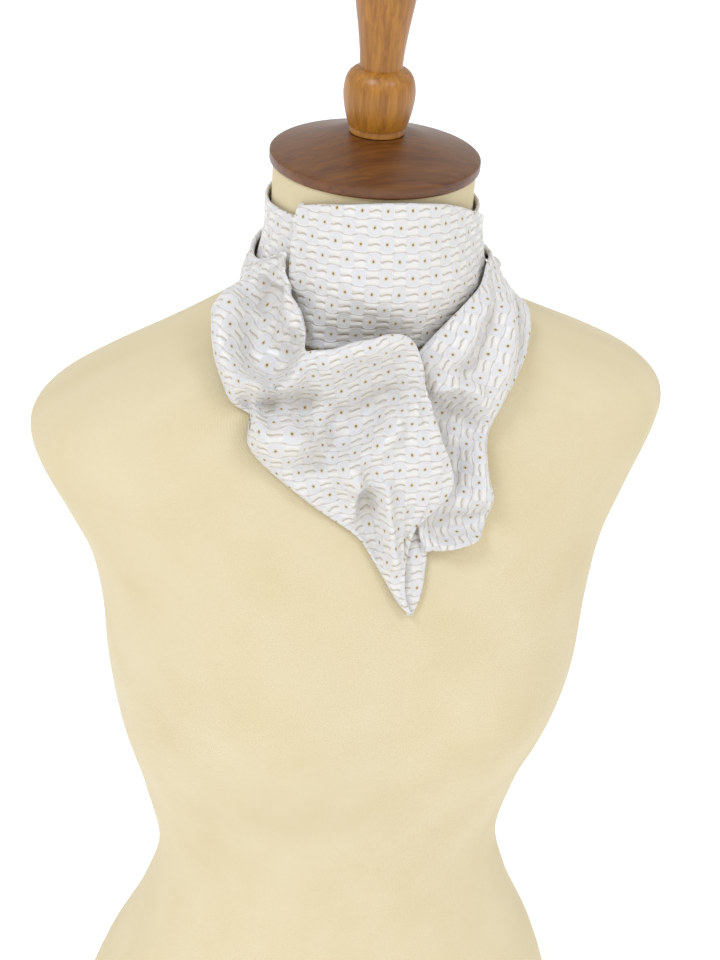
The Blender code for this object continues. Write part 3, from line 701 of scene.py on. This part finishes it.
right_end, right_layer = drape(
    "right_end_draped", RIGHT_CUTS, RIGHT_FOLDS, roll=(3, 5, 0, 3), across=56, lengthwise=230,
    under=[band_layer, plate_layer, loop_layer, tail_layer], replaced=["right_swag"],
    grain=(28, 95, 60))

# The left end: it comes round from the nape, is pleated in at the plate's left edge, swings
# across the front in a deep pouch, and falls in the middle over the right end to a point.
LEFT_CUTS = np.array([
    (0, -179.7, 52, -179.7, 57, -179.7, 62, -179.7, 67, -179.7, 73, -179.7, 79, 5, 7, 8, 8, 7, 5),
    (1, -142, 52, -141, 57, -141, 62, -140, 68, -140, 74, -139, 80, 5, 8, 10, 10, 9, 7),
    (2, -112, 57, -110, 61, -108, 65, -106, 69, -104, 74, -102, 79, 5, 7, 8, 9, 8, 7),
    (3, -86, 57, -88, 61, -89, 66, -90, 71, -91, 76, -92, 81, 5, 8, 10, 11, 10, 9),
    (4, -60.5, 41, -68, 51, -75, 60, -80, 68, -83, 76, -86, 84, 4, 10, 12, 12, 12, 10),
    (5, -60.3, 49, -67, 57, -75, 66, -79, 75, -82, 84, -83, 91, 5, 11, 14, 15, 16, 15),
    (6, -56, 57, -62, 70, -69, 80, -72, 87, -74, 93, -75, 97, 13, 8, 12, 24, 24, 18),
    (7, -50, 66, -57, 82, -62, 92, -65, 100, -66, 105, -66, 109, 18, 7, 5, 20, 21, 13),
    (8, -46, 76, -53, 90, -57, 100, -60, 109, -60, 115, -60, 119, 18, 4, 4, 23, 20, 12),
    (9, -44, 84, -49, 96, -53, 107, -55, 113, -56, 119, -54, 125, 17, 4, 10, 28, 14, 7),
    (10, -43, 92, -46, 103, -49, 112, -51, 121, -52, 130, -53, 137, 26, 26, 21, 9, 20, 10),
    (11, -39, 90, -42, 107, -43, 119, -44, 131, -45, 142, -46, 152, 28, 18, 9, 21, 19, 8),
    (12, -32, 86, -34, 106, -34, 122, -34, 138, -34, 149, -32, 172, 28, 18, 11, 17, 7, 9),
    (13, -24, 80, -27, 102, -28, 120, -27, 136, -25, 150, -17, 189, 28, 17, 10, 4, 21, 8),
    (14, -16, 76, -20, 97, -21, 115, -21, 129, -17, 152, -11, 202, 28, 17, 9, 4, 21, 3),
    (15, -9, 73, -11, 92, -13, 108, -14, 122, -13, 142, -7, 213, 28, 18, 10, 4, 23, 6),
    (16, -3, 74, -4, 90, -4, 104, -4, 115, -5, 135, -3, 225, 28, 20, 13, 9, 22, 6),
    (17, 2, 81, 3, 98, 3, 108, 3, 125, -1, 170, -0.5, 231, 27, 22, 19, 22, 18, 5),
    (18, 5, 92, 8, 112, 11, 138, 9, 165, -1.5, 200, 1, 233, 26, 24, 22, 17, 8, 4),
    (19, 7, 108, 15, 138, 19, 167, 1, 192, -1, 222, 2, 234, 24, 21, 16, 9, 5, 4),
])
LEFT_FOLDS = [
    (-65, 47, -80, 74, -74, 94, 8, 4),
    (-59, 54, -70, 70, -71, 85, 5, -16),
    (-67, 84, -63, 96, -55, 103, 6, -7),
    (-54, 58, -54, 76, -47, 90, 6, 7),
    (-61, 88, -54, 98, -48, 100, 7, -6),
    (-63, 110, -52, 112, -45, 98, 4.5, 7),
    (-59, 121, -50, 118, -36, 115, 5, -9),
    (-54, 131, -46, 131, -38, 136, 9, 9),
    (6, 104, -13, 127, -34, 149, 5, -5),
    (8, 112, -13, 134, -37, 162, 6, 8),
    (-5, 78, -26, 88, -43, 102, 7, 5),
    (-24, 118, -32, 131, -37, 148, 5, -6),
    (-17, 160, -15, 179, -12, 205, 9, -18),
    (-24, 148, -20, 168, -18, 184, 4.5, 9),
    (-11.5, 156, -8, 180, -4, 212, 4.5, 12),
    (12, 136, 6, 158, 2, 180, 13, 4),
]
left_end = drape(
    "left_end_draped", LEFT_CUTS, LEFT_FOLDS, roll=(3, 4, 0, 2.5), across=90, lengthwise=300,
    under=[band_layer, plate_layer, tail_layer, right_layer],
    replaced=["left_swag", "centre_fall"], grain=(0, 150, 0))[0]

# The setting: a wide sheet of white paper under the form, cool daylight from two windows, a
# strong one on the left and a weak one on the right, and most of the light from a pale sky.
FLOOR_REACH = 12
FLOOR_BELOW = 0.0005
DAYLIGHT = (0.84, 0.96, 1.26)
LIGHTS = [  # name, where it comes from, how wide it looks in degrees, strength
    ("left_window", (-0.7, -0.5, 1.0), 16, 0.95),
    ("right_window", (0.45, -0.9, 0.95), 16, 0.45),
]
SKY, SKY_STRENGTH = "#fffefb", 0.78
paper, tree, shader = material("white paper", {
    "Base Color": linear("#fdfdfd"), "Emission Color": (1, 1, 1, 1), "Emission Strength": 0.2,
    "Roughness": 0.9})
bm = bmesh.new()
bmesh.ops.create_grid(bm, x_segments=1, y_segments=1, size=FLOOR_REACH)
floor_mesh = bpy.data.meshes.new("floor")
bm.to_mesh(floor_mesh)
bm.free()
floor_mesh.materials.append(paper)
floor = bpy.data.objects.new("floor", floor_mesh)
floor.location = (0, 0, -FLOOR_BELOW)
bpy.context.scene.collection.objects.link(floor)

for name, source, wide, strength in LIGHTS:
    lamp = bpy.data.lights.new(name, "SUN")
    lamp.angle = radians(wide)
    lamp.energy = strength
    lamp.color = DAYLIGHT
    stand = bpy.data.objects.new(name, lamp)
    stand.rotation_euler = Vector(source).to_track_quat("Z", "Y").to_euler()
    bpy.context.scene.collection.objects.link(stand)
world = bpy.data.worlds.new("pale sky")
world.use_nodes = True
world.node_tree.nodes["Background"].inputs["Color"].default_value = linear(SKY)
world.node_tree.nodes["Background"].inputs["Strength"].default_value = SKY_STRENGTH
bpy.context.scene.world = world
bpy.context.scene.view_settings.view_transform = "Standard"

# The camera: close up from above, a little to the form's right, leaning as it was held.
CAMERA_TURN, CAMERA_RISE, CAMERA_LEAN = radians(-19), radians(29.3), radians(4)
CAMERA_AWAY = 1.1
CAMERA_AIM = Vector((0.0043, AXIS_BACK, RIM_HEIGHT - 0.205))
CAMERA_LENS_MM, CAMERA_SENSOR_MM = 69, 36
CAMERA_NEAREST = 0.01
back = Vector((sin(CAMERA_TURN) * cos(CAMERA_RISE), -cos(CAMERA_TURN) * cos(CAMERA_RISE),
               sin(CAMERA_RISE)))
level = (-back).cross(Vector((0, 0, 1))).normalized()
upright = level.cross(-back)
right = level * cos(CAMERA_LEAN) + upright * sin(CAMERA_LEAN)
up = upright * cos(CAMERA_LEAN) - level * sin(CAMERA_LEAN)
camera_data = bpy.data.cameras.new("camera")
camera_data.lens = CAMERA_LENS_MM
camera_data.sensor_width = CAMERA_SENSOR_MM
camera_data.clip_start = CAMERA_NEAREST
camera = bpy.data.objects.new("camera", camera_data)
pose = Matrix((right, up, back)).transposed().to_4x4()
pose.translation = CAMERA_AIM + back * CAMERA_AWAY
camera.matrix_world = pose
bpy.context.scene.collection.objects.link(camera)
bpy.context.scene.camera = camera
